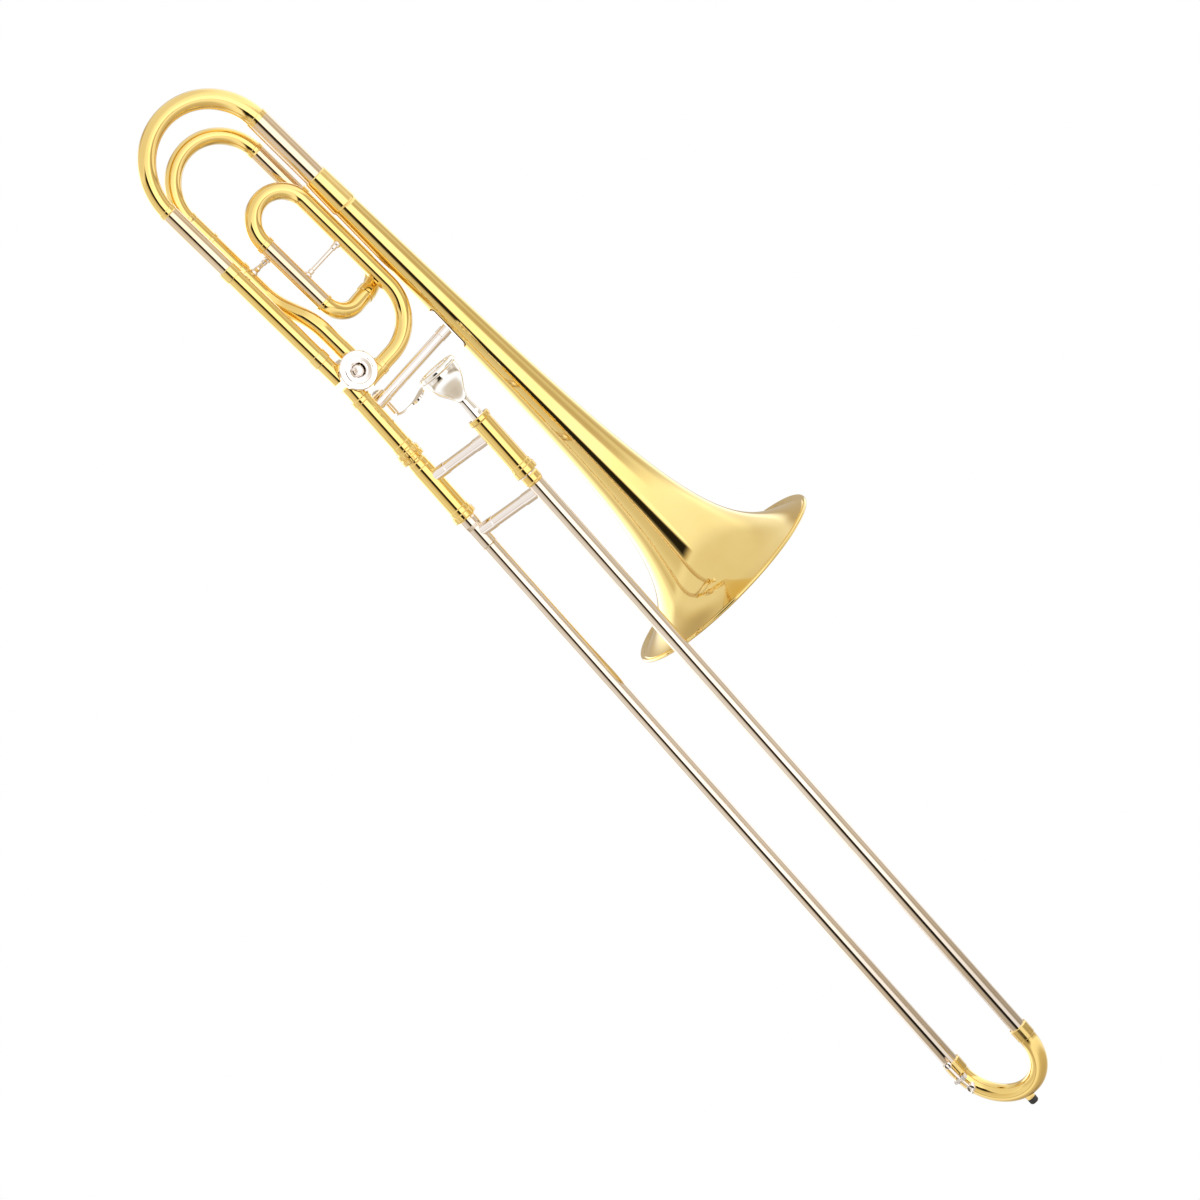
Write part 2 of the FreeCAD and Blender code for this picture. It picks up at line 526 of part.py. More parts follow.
def make_thumb_lever():
    hinge = V(LEVER_X, 0, LEVER_Z)
    pin = crank_pin()
    barrel_near = 10.3
    crank_near = 22.0
    crank_far = 24.4
    barrel = rod(hinge + Y_AXIS * barrel_near, hinge + Y_AXIS * crank_far, 3.3)
    arm = rod(V(LEVER_X, 13.0, LEVER_Z), V(PADDLE_X, 13.0, LEVER_Z), 2.5)
    down = (pin - hinge).normalize()
    crank = rod(pin + Y_AXIS * crank_near, pin + Y_AXIS * crank_far, 2.6)
    strap = box((-1.7, crank_near, -CRANK_REACH), (1.7, crank_far, 0))
    strap.rotate(V(0, 0, 0), Y_AXIS, -math.degrees(math.atan2(down.x, -down.z)))
    strap.translate(hinge)
    stud = rod(pin + Y_AXIS * 18.9, pin + Y_AXIS * crank_near, 1.2)
    body = barrel.multiFuse([arm, crank, strap, stud])
    bore = rod(hinge, hinge + Y_AXIS * 30, 1.5 + FIT)
    parts["thumb_lever"] = body.cut(bore)

    # Paddle: a bent strip that leaves the arm's end and rises to the thumb.
    profile = [V(PADDLE_X - 1.4, 0, LEVER_Z - 2.6), V(PADDLE_X + 1.6, 0, LEVER_Z + 5),
               V(PADDLE_X + 2.2, 0, LEVER_Z + 14), V(PADDLE_X + 0.8, 0, LEVER_Z + 23),
               V(PADDLE_X - 2.6, 0, LEVER_Z + 31)]
    curve = Part.BSplineCurve()
    curve.interpolate(profile)
    back = Part.BSplineCurve()
    back.interpolate([point + V(1.9, 0, 0.3) for point in profile])
    edges = [curve.toShape(), back.toShape(), Part.makeLine(profile[0], profile[0] + V(1.9, 0, 0.3)),
             Part.makeLine(profile[-1], profile[-1] + V(1.9, 0, 0.3))]
    face = Part.Face(Part.Wire(Part.__sortEdges__(edges)))
    blade = face.extrude(V(0, 17, 0))
    blade.translate(V(0, -1.5, 0))
    pad_centre = V(PADDLE_X, 7, LEVER_Z + 23)
    outline = rod(pad_centre - X_AXIS * 9, pad_centre + X_AXIS * 9, 8.5)
    stem = box((PADDLE_X - 9, 7.3, LEVER_Z - 6), (PADDLE_X + 9, 14.9, LEVER_Z + 24))
    parts["thumb_paddle"] = blade.common(outline.fuse(stem)).cut(parts["thumb_lever"])

    coils = [Part.makeTorus(4.2, 0.55, hinge + Y_AXIS * (16.3 + 1.05 * turn), Y_AXIS)
             for turn in range(5)]
    tail = rod(hinge + V(4.2, 16.3, 0), V(LEVER_X + 12, 16.3, LEVER_Z - 0.4), 0.55)
    parts["lever_spring"] = coils[0].multiFuse(coils[1:] + [tail])


def make_lever_bracket():
    """Bracket on the slide receiver; gives back the lever's pivot screw."""
    ear_near = 7.8
    ear_far = 10.0
    ear = box((LEVER_X - 3.6, ear_near, 2.5), (LEVER_X + 3.6, ear_far, LEVER_Z))
    ear = ear.fuse(rod(V(LEVER_X, ear_near, LEVER_Z), V(LEVER_X, ear_far, LEVER_Z), 3.6))
    foot = box((LEVER_X - 6, 6.0, 0), (LEVER_X + 9, RECEIVER_R + 1.8, 6.5))
    body = ear.fuse(foot).cut(rod(V(-80, 0, 0), V(-20, 0, 0), RECEIVER_R))
    parts["lever_bracket"] = body.cut(rod(V(LEVER_X, 0, LEVER_Z), V(LEVER_X, 20, LEVER_Z), 1.5))
    screw = rod(V(LEVER_X, ear_near, LEVER_Z), V(LEVER_X, 24.7, LEVER_Z), 1.5)
    head = turned([(0, 0), (0, 3.3), (1.2, 3.3), (1.9, 2.4), (1.9, 0)], V(LEVER_X, 24.7, LEVER_Z), Y_AXIS)
    slot = box((LEVER_X - 4, 25.9, LEVER_Z - 0.3), (LEVER_X + 4, 27, LEVER_Z + 0.3))
    return screw.fuse(head).cut(slot)


# ---------------------------------------------------------------- braces
def brace(start, end, start_r, end_r, rod_r, socket_r, socket_length):
    """A brace between two tube axes: a tube and its two sockets, as three solids."""
    way = (end - start).normalize()
    first = start + way * (start_r - 2.5)
    last = end - way * (end_r - 2.5)
    middle_start = first + way * socket_length
    middle_end = last - way * socket_length
    bar = tube(middle_start - way * 6, middle_end + way * 6, rod_r, rod_r - 1.2)
    sockets = []
    for foot, direction in ((first, way), (last, way * -1)):
        outline = [(0, 0), (0, socket_r), (socket_length - 0.5, socket_r), (socket_length, socket_r - 0.4)]
        outline += [(socket_length, rod_r), (socket_length - 6, rod_r), (socket_length - 6, 0)]
        sockets.append(turned(outline, foot, direction))
    sockets[0] = sockets[0].cut(rod(start - X_AXIS * 60, start + X_AXIS * 60, start_r))
    return bar, sockets


def make_bell_brace():
    foot = bell_point(BRACE_U, 0, 0)
    foot = V(foot.x, 0, 0)
    top = bell_point(BRACE_U, 0, LEG_SPACING)
    bell_r = horn_radius(RIM_U - BRACE_U)
    bar, sockets = brace(foot, top, RECEIVER_R, bell_r, BRACE_R, SOCKET_R, 14)
    horn = turned([(-60, 0), (-60, horn_radius(RIM_U - BRACE_U + 60) + 0.1),
                   (60, horn_radius(RIM_U - BRACE_U - 60) + 0.5), (60, 0)], top, U_AXIS)
    leaf = turned([(-60, 0), (-60, horn_radius(RIM_U - BRACE_U + 60) + 1.4),
                   (60, horn_radius(RIM_U - BRACE_U - 60) + 1.8), (60, 0)], top, U_AXIS)
    half = SADDLE_WIDTH / 2
    plate = Part.makeBox(SADDLE_LENGTH, SADDLE_WIDTH, 12, V(-SADDLE_LENGTH / 2, -half, -6))
    corners = [edge for edge in plate.Edges if abs(edge.tangentAt(edge.FirstParameter).z) > 0.9]
    plate = plate.makeFillet(half - 0.2, corners)
    plate.rotate(V(0, 0, 0), Y_AXIS, -BELL_TILT)
    plate.translate(bell_point(BRACE_U, 0, LEG_SPACING - bell_r))
    saddle = plate.common(leaf).cut(horn)
    sockets[1] = sockets[1].cut(leaf)
    parts["bell_brace"] = group([bar, saddle] + sockets)


# ---------------------------------------------------------------- hand slide, inner half
def make_receiver_and_nut():
    start = RECEIVER_START_X
    outline = [(start, 7.9), (start, RECEIVER_R), (start + 1, 9.7), (start + 4, 9.7)]
    outline += [(start + 5, RECEIVER_R), (-13, RECEIVER_R)]
    outline += [(-12, RECEIVER_R + 0.5), (-8, RECEIVER_R + 0.5), (-7, RECEIVER_R)]
    outline += [(-1, RECEIVER_R), (-1, 8.0), (-34, 7.6), (-36, 6.9), (start + 2, 6.9), (start + 2, 7.9)]
    parts["slide_receiver"] = turned(outline, LOWER, X_AXIS)
    nut = [(-5.5, RECEIVER_R + 0.06), (-5.5, 10.2), (-4.4, NUT_R - 0.1), (-1.2, NUT_R)]
    nut += [(-0.5, 10.3), (0.5, 10.3), (1.2, NUT_R), (4.4, NUT_R - 0.1), (5.5, 10.0)]
    nut += [(5.5, 8.26), (0.4, 8.26), (0.4, RECEIVER_R + 0.06)]
    body = turned(nut, LOWER, X_AXIS)
    for step in range(24):
        angle = math.radians(step * 15)
        groove = V(0, math.cos(angle), math.sin(angle)) * (NUT_R + 0.35)
        body = body.cut(rod(groove - X_AXIS * 5, groove + X_AXIS * 5, 0.7))
    parts["lock_nut"] = body
    tenon = [(-33, 6.3), (-33, 7.55), (-1, 7.95), (-0.6, 7.95), (-0.6, 9.0), (0.1, 9.0), (0.1, 8.2)]
    tenon += [(7, 8.2), (8.5, 9.0), (BARREL_START_X, 9.0), (BARREL_START_X, 6.3)]
    parts["slide_tenon"] = turned(tenon, LOWER, X_AXIS)


def make_inner_slide():
    low = [(BARREL_START_X, 6.7), (BARREL_START_X, BARREL_R - 0.4), (15, BARREL_R)]
    end = BARREL_END_X
    low += [(end - 5, BARREL_R), (end - 4, BARREL_R + 0.7), (end - 0.4, BARREL_R + 0.7), (end - 0.4, 8.5)]
    low += [(end + 7, 8.5), (end + 7, 7.7), (end + 2, 7.7), (end + 2, BARREL_BORE_R)]
    low += [(24, BARREL_BORE_R), (24, 6.7)]
    parts["lower_cork_barrel"] = turned(low, LOWER, X_AXIS)
    high = [(8, 6.2), (8, 9.8), (9, 10.6), (12, 10.6), (13.5, BARREL_R), (end - 5, BARREL_R)]
    high += [(end - 4, BARREL_R + 0.7), (end - 1, BARREL_R + 0.7), (end, 11.0), (end + 5, 11.0)]
    high += [(end + 6, 10.4), (end + 6, 7.7), (end + 2, 7.7), (end + 2, BARREL_BORE_R)]
    high += [(36, BARREL_BORE_R), (36, 6.7), (34, 6.7), (34, 5.9)]
    parts["upper_cork_barrel"] = turned(high, UPPER, X_AXIS)
    lock = [(end, 8.5 + FIT), (end, 10.6), (end + 1, 11.2), (end + 5, 11.2), (end + 6, 10.6)]
    lock += [(end + 6, 8.5 + FIT)]
    ring_body = turned(lock, LOWER, X_AXIS)
    for step in range(20):
        angle = math.radians(step * 18)
        groove = V(0, math.cos(angle), math.sin(angle)) * 11.6
        ring_body = ring_body.cut(rod(groove + X_AXIS * (end - 1), groove + X_AXIS * (end + 7), 0.7))
    parts["slide_lock_ring"] = ring_body
    tubes = []
    corks = []
    for leg, start in ((LOWER, BARREL_START_X), (UPPER, 34)):
        outline = [(start, INNER_BORE_R), (start, INNER_TUBE_R), (STOCKING_START_X, INNER_TUBE_R)]
        outline += [(STOCKING_START_X + 2, STOCKING_R), (INNER_END_X, STOCKING_R)]
        outline += [(INNER_END_X, INNER_BORE_R)]
        tubes.append(turned(outline, leg, X_AXIS))
        cork = [(36.1, 6.65), (36.1, BARREL_BORE_R - 0.1), (OUTER_START_X - GAP, BARREL_BORE_R - 0.1)]
        cork += [(OUTER_START_X - GAP, 6.65)]
        corks.append(turned(cork, leg, X_AXIS))
    parts["inner_slide_tubes"] = group(tubes)
    parts["barrel_corks"] = group(corks)
    lead = [(36.5, 5.0), (36.5, 6.1), (250, 6.1), (250, 5.9)]
    parts["leadpipe"] = turned(lead, UPPER, X_AXIS)
    at = X_AXIS * INNER_BRACE_X
    bar, sockets = brace(LOWER + at, UPPER + at, BARREL_R, BARREL_R, BRACE_R, SOCKET_R, 16)
    sockets[1] = sockets[1].cut(rod(UPPER, UPPER + X_AXIS * 90, BARREL_R))
    parts["inner_brace"] = group([bar] + sockets)


# ---------------------------------------------------------------- hand slide, outer half
def make_outer_slide():
    tubes = []
    sleeves = []
    for leg, nose_end, sleeve_end in ((LOWER, 10.3, 30.5), (UPPER, 8.0, 9.5)):
        tubes.append(tube(leg + X_AXIS * OUTER_START_X, leg + X_AXIS * CROOK_START_X,
                          OUTER_TUBE_R, OUTER_BORE_R))
        begin = BARREL_END_X + 7.5
        collar = [(begin, OUTER_TUBE_R), (begin, 8.0), (begin + 1.5, 8.4), (begin + 6.5, 8.4)]
        collar += [(begin + nose_end, SLEEVE_R), (begin + sleeve_end - 1, SLEEVE_R)]
        collar += [(begin + sleeve_end, OUTER_TUBE_R)]
        sleeves.append(turned(collar, leg, X_AXIS))
    parts["outer_slide_tubes"] = group(tubes)
    parts["outer_slide_sleeve_lower"] = sleeves[0]
    parts["outer_slide_sleeve_upper"] = sleeves[1]
    at = X_AXIS * OUTER_BRACE_X
    bar, sockets = brace(LOWER + at, UPPER + at, SLEEVE_R, OUTER_TUBE_R, BRACE_R, SOCKET_R, 17)
    sockets[1] = sockets[1].cut(rod(UPPER, UPPER + X_AXIS * 150, OUTER_TUBE_R))
    parts["outer_brace"] = group([bar] + sockets)

    radius = SLIDE_SPACING / 2
    centre = MIDDLE + X_AXIS * CROOK_CENTRE_X
    curve = bow(centre, X_AXIS, ACROSS, radius, CROOK_TUBE_R, CROOK_TUBE_R)
    hollow = bow(centre, X_AXIS, ACROSS, radius, CROOK_TUBE_R - 0.5, CROOK_TUBE_R - 0.5)
    crook_rings = []
    for leg in (LOWER, UPPER):
        end = leg + X_AXIS * CROOK_CENTRE_X
        begin = leg + X_AXIS * CROOK_START_X
        curve = curve.fuse(rod(begin, end, CROOK_TUBE_R))
        hollow = hollow.fuse(rod(begin, end, CROOK_TUBE_R - 0.5))
        outline = [(CROOK_START_X - 8, OUTER_TUBE_R), (CROOK_START_X - 8, CROOK_TUBE_R + 0.3)]
        outline += [(CROOK_START_X - 7.2, CROOK_TUBE_R + 0.7), (CROOK_START_X + 4.4, CROOK_TUBE_R + 0.6)]
        outline += [(CROOK_START_X + 5.2, CROOK_TUBE_R)]
        outline += [(CROOK_START_X, CROOK_TUBE_R), (CROOK_START_X, OUTER_TUBE_R)]
        crook_rings.append(turned(outline, leg, X_AXIS))
    parts["crook"] = curve.removeSplitter().cut(hollow)
    tip = centre + X_AXIS * (radius + CROOK_TUBE_R)
    holder = turned([(-2.5, 0), (-2.5, 5.0), (0.6, 4.6), (2.4, 4.2), (2.4, 0)], tip, X_AXIS)
    crook_rings.append(holder.cut(bow(centre, X_AXIS, ACROSS, radius, CROOK_TUBE_R, CROOK_TUBE_R)))
    parts["crook_fittings"] = group(crook_rings)
    parts["slide_bumper"] = turned([(2.4, 0), (2.4, 4.0), (3.2, 4.4), (7.0, 4.2), (8.0, 3.4), (8.0, 0)],
                                   tip, X_AXIS)


# ---------------------------------------------------------------- water key
def make_water_key():
    lean = math.radians(KEY_ANGLE)
    out = V(0, -math.sin(lean), -math.cos(lean))
    side = X_AXIS.cross(out)
    seat_turn = math.asin((KEY_SEAT_X - CROOK_CENTRE_X) / (SLIDE_SPACING / 2))
    rise = (SLIDE_SPACING / 2) * (1 - math.cos(seat_turn))
    seat_axis = X_AXIS * KEY_SEAT_X + ACROSS * rise

    def at(x, reach, across=0):
        """A point beside the crook: along X, outwards and sideways."""
        return X_AXIS * x + ACROSS * (rise * (x - CROOK_CENTRE_X) / (KEY_SEAT_X - CROOK_CENTRE_X)
                                      if x > CROOK_CENTRE_X else 0) + out * reach + side * across

    crook_solid = bow(MIDDLE + X_AXIS * CROOK_CENTRE_X, X_AXIS, ACROSS, SLIDE_SPACING / 2,
                      CROOK_TUBE_R, CROOK_TUBE_R)
    crook_solid = crook_solid.fuse(rod(X_AXIS * 700, X_AXIS * CROOK_CENTRE_X, CROOK_TUBE_R))
    hole = rod(seat_axis, seat_axis + out * 20, 1.9)
    parts["crook"] = parts["crook"].cut(hole)
    seat = CROOK_TUBE_R + 1.6
    nipple = turned([(seat - 3.5, 1.9), (seat - 3.5, 4.2), (seat - 1.4, 3.6), (seat, 2.9), (seat, 1.9)],
                    seat_axis, out)
    nipple = nipple.cut(crook_solid)
    pivot_reach = CROOK_TUBE_R + 4.2
    posts = []
    for across in (-4.7, 4.7):
        post = rod(at(KEY_PIVOT_X, pivot_reach, across - 0.7), at(KEY_PIVOT_X, pivot_reach, across + 0.7), 2.0)
        web = Part.makeBox(4.0, 1.4, 8.0, V(-2.0, -0.7, -8.0))
        web.Placement = FreeCAD.Placement(at(KEY_PIVOT_X, pivot_reach, across),
                                          FreeCAD.Rotation(X_AXIS, side, out, "XZY"))
        posts.append(post.fuse(web).cut(crook_solid))
    drill = rod(at(KEY_PIVOT_X, pivot_reach, -8), at(KEY_PIVOT_X, pivot_reach, 8), 0.8)
    posts = [post.cut(drill) for post in posts]
    parts["water_key_saddle"] = group([nipple] + posts)
    pin = rod(at(KEY_PIVOT_X, pivot_reach, -5.4), at(KEY_PIVOT_X, pivot_reach, 5.4), 0.8)
    head = rod(at(KEY_PIVOT_X, pivot_reach, 5.4), at(KEY_PIVOT_X, pivot_reach, 6.6), 1.6)
    parts["water_key_screw"] = pin.fuse(head)

    hinge = rod(at(KEY_PIVOT_X, pivot_reach, -3.7), at(KEY_PIVOT_X, pivot_reach, 3.7), 1.9)
    cup_centre = seat_axis + out * (seat + 1.8)
    cup = turned([(0, 0), (0, 3.9), (1.6, 3.9), (2.2, 3.2), (2.2, 0)], cup_centre, out)
    front = rod(at(KEY_PIVOT_X, pivot_reach + 0.3), seat_axis + out * (seat + 3.0), 1.3)
    tail = rod(at(KEY_PIVOT_X, pivot_reach + 0.2), at(KEY_PIVOT_X - 20, pivot_reach + 2.4), 1.25)
    pad = turned([(0, 0), (0, 3.4), (0.9, 3.4), (1.3, 2.6), (1.3, 0)],
                 at(KEY_PIVOT_X - 18, pivot_reach + 1.8), out)
    tab = rod(seat_axis + out * (seat + 3.0), seat_axis + out * (seat + 7.5) + X_AXIS * 3.0, 1.2)
    key = hinge.multiFuse([cup, front, tail, pad, tab])
    parts["water_key"] = key.cut(rod(at(KEY_PIVOT_X, pivot_reach, -8), at(KEY_PIVOT_X, pivot_reach, 8), 0.85))
    parts["water_key_cork"] = rod(seat_axis + out * (seat + GAP), cup_centre, 3.2).cut(key)
    springs = []
    for across in (-1, 1):
        coils = [Part.makeTorus(2.45, 0.32, at(KEY_PIVOT_X, pivot_reach, across * (2.15 + 0.6 * turn)), side)
                 for turn in range(3)]
        springs.append(coils[0].multiFuse(coils[1:]))
    parts["water_key_spring"] = group(springs)
    return at(KEY_PIVOT_X, pivot_reach), side, out


# ---------------------------------------------------------------- mouthpiece
def make_mouthpiece():
    outline = [(1.2, 12.7), (0, 14.2), (-0.2, 15.6), (0.6, 17.6), (2.2, CUP_RIM_R), (4.2, 18.4)]
    outline += [(5.2, 17.4), (6.0, 16.9), (9, 16.8), (15, 15.6), (21, 13.0), (26, 9.9), (30, 7.3)]
    outline += [(33, 6.0), (36, 5.3), (40, 5.1), (48, 5.5), (55, 6.14), (80, 5.78)]
    outline += [(80, 4.7), (60, 3.8), (36, 3.2), (26, 3.2), (23, 3.8), (19, 6.6), (14, 9.6)]
    outline += [(8, 11.6), (3, 12.4)]
    parts["mouthpiece"] = turned(outline, UPPER + X_AXIS * RIM_X, X_AXIS)


make_bell()
make_tuning_slide()
make_f_tubing()
make_f_braces()
make_valve()
section_screws = make_stop_parts()
make_linkage()
make_thumb_lever()
section_screws.append(make_lever_bracket())
parts["bell_section_screws"] = group(section_screws)
make_bell_brace()
make_receiver_and_nut()
make_inner_slide()
make_outer_slide()
key_pivot, key_side, key_out = make_water_key()
make_mouthpiece()
parts["bell_section_ferrules"] = group(bell_section_ferrules())

for name, shape in parts.items():
    solids = shape.Solids
    if not solids or not shape.isValid():
        print("problem:", name, len(solids), shape.isValid())
    whole = solids[0] if len(solids) == 1 else Part.makeCompound(solids)
    whole.exportStep("parts/" + name + ".step")
print(len(parts), "nodes")
print("rotor centre", valve_point(0, 0, 0))
print("water key pivot", key_pivot, "axis", key_side, "out", key_out)
print("bell section axis", U_AXIS)
print("upper slide axis", UPPER)
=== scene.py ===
import json
import math

import bpy
from mathutils import Matrix, Vector


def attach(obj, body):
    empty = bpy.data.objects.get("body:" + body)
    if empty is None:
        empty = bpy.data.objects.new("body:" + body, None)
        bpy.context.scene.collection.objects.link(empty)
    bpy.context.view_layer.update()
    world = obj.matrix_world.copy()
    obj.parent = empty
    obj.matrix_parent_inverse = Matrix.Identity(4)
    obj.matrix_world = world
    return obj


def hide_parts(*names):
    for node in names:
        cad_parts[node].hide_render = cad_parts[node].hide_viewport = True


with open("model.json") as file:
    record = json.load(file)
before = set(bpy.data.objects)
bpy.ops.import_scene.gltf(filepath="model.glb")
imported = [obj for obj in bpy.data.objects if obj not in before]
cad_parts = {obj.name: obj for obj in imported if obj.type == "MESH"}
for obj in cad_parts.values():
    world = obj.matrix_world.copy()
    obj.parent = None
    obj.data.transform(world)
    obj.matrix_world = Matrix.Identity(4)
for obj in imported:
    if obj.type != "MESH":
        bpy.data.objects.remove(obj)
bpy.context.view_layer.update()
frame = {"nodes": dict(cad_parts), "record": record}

# ---------------------------------------------------------------- driving values
# Camera: angles round the object in degrees, lengths in metres.
CAMERA_AZIMUTH = -9.79
CAMERA_ELEVATION = -19.2
CAMERA_ROLL = 45.15
CAMERA_TARGET = Vector((0.20853, 0.0, 0.04186))
CAMERA_DISTANCE = 3.5
CAMERA_LENS_MM = 119.38
CAMERA_CLIP_END = 600.0
SENSOR_MM = 36.0

# Floor, in metres. It lies far below the object, so the view from below stays clear of it.
FLOOR_Z = -4.6
FLOOR_HALF = 120.0
FLOOR_TONES = ((0.86, 0.86, 0.86, 1.0), (0.90, 0.90, 0.90, 1.0))

# Directions of the studio light. Its zenith is a mix of three: the upright one, which leans with
# the bell and is made square to the camera's view, the one to the camera, and the hand slide's.
ALONG = Vector((1.0, 0.0, 0.0))
UPRIGHT = Vector((-0.068, 0.0, 0.9977))
ZENITH_OVER, ZENITH_BACK, ZENITH_ALONG = 0.965, 0.24, 0.107

# Brightness of the tent and of the table, by how far a direction faces the camera (1) or the
# backdrop (-1).
TENT_LIGHT = [(-1.0, 0.95), (-0.5, 0.80), (-0.24, 0.64), (0.05, 0.84), (0.42, 0.64),
              (0.60, 0.70), (0.78, 1.60), (1.0, 1.60)]
TABLE_LIGHT = [(-1.0, 1.60), (-0.46, 1.50), (-0.28, 1.00), (-0.10, 0.78), (0.15, 0.95),
               (0.60, 0.80), (1.0, 0.72)]
# Brightness of the tent's two ends, by how far a direction points along the hand slide.
END_LIGHT = [(-1.0, 0.92), (-0.72, 0.94), (-0.40, 1.22), (0.12, 1.50), (0.52, 1.10),
             (0.80, 0.70), (1.0, 0.60)]
# Factor on the two ends behind the instrument, by height.
END_LAYERS = [(-1.0, 0.88), (-0.60, 0.82), (-0.35, 0.60), (-0.20, 0.85), (0.10, 1.00),
              (0.45, 0.92), (0.75, 1.12), (1.0, 1.12)]
BRIGHTEST = 2.0

# Smooth steps of the studio light: from, to, and the values there where they aren't 0 and 1.
TENT_EDGE = (0.04, 0.17)
TABLE_EDGE = (-0.53, -0.28, 1.0, 0.0)
TABLE_TILT = -0.092
TABLE_RISE = (0.12, 0.32, 0.0, 0.14)
GAP_GLOW = (-0.80, -0.50, 0.60, 0.02)
BEHIND_EDGE = (-0.45, -0.10, 1.0, 0.0)
LEFT_END_PLACE = (0.10, 0.40, -0.47, -0.01)
LEFT_END_EDGE = (-0.14, 0.0, 1.0, 0.0)
RIGHT_END_EDGE = (0.31, 0.42)
CENTRE_FADE = (0.235, 0.31, 1.0, 0.6)
WARM_EDGE = (0.60, 1.05)
WARM = (1.0, 0.87, 0.68, 1.0)
WHITE = (1.0, 1.0, 1.0, 1.0)

# Bell, in metres: its frame is tilted about the valve, as in the CAD model.
BELL_TILT = math.radians(4.285)
BELL_ORIGIN = Vector((-0.0845, 0.0, -0.00195))
U_AXIS = Vector((math.cos(BELL_TILT), 0.0, math.sin(BELL_TILT)))
W_AXIS = Vector((-math.sin(BELL_TILT), 0.0, math.cos(BELL_TILT)))
LEG_SPACING = 0.1175
RIM_U = 0.369
TAIL_U = -0.108
RIM_RADIUS = 0.1022
BEAD_RADIUS = 0.0019
BELL_WALL = 0.0006
# Horn: its radius in metres is HORN_SCALE / (depth + HORN_OFFSET) ** HORN_POWER, with the depth in
# millimetres, and past HORN_END_DEPTH it is a straight cone.
HORN_SCALE = 0.791
HORN_OFFSET = 20.3
HORN_POWER = 0.68
HORN_END_DEPTH = 370.0
# Mesh of the bell: rows along it, how much they crowd to the rim, and steps round it. The bead is
# an open ring, drawn a hair inside its CAD size.
HORN_START_DEPTH = 0.0019
HORN_ROWS = 150
HORN_CROWDING = 2.2
HORN_SLOPE_STEP = 5e-5
BEAD_ROWS = 24
BEAD_START_DEG = -150
BEAD_SWEEP_DEG = 300
BEAD_SHRINK = 0.998
BELL_TURNS = 288

# Mouthpiece: distance behind the rim's plane and radius, in millimetres.
MOUTHPIECE_START = Vector((-0.047, -0.071545, 0.044015))
MOUTHPIECE_OUTSIDE = [(1.2, 12.8), (0.2, 14.2), (0.0, 15.6), (0.6, 17.4), (2.2, 18.4),
                      (4.2, 18.3), (5.2, 17.4), (6.0, 16.9), (9.0, 16.75), (15.0, 15.6),
                      (21.0, 13.0), (26.0, 9.9), (30.0, 7.3), (33.0, 6.0), (36.0, 5.3),
                      (40.0, 5.1), (48.0, 5.5), (55.0, 6.12), (79.9, 5.76)]
MOUTHPIECE_INSIDE = [(79.9, 4.8), (60.0, 3.9), (36.0, 3.3), (26.0, 3.3), (23.0, 3.9),
                     (19.0, 6.6), (14.0, 9.6), (8.0, 11.6), (3.0, 12.4)]
MOUTHPIECE_ROWS = 6
MOUTHPIECE_TURNS = 128

# Surfaces: wipe marks run along X, bumps are strengths with a depth in metres, and the coat is the
# brass's lacquer.
WIPE_STRETCH = (25.0, 420.0, 420.0)
WIPE_BUMP = 0.02
GRAIN_BUMP = 0.5
BUMP_DEPTH = 0.0002
COAT_ROUGHNESS = 0.04
COAT_IOR = 1.5


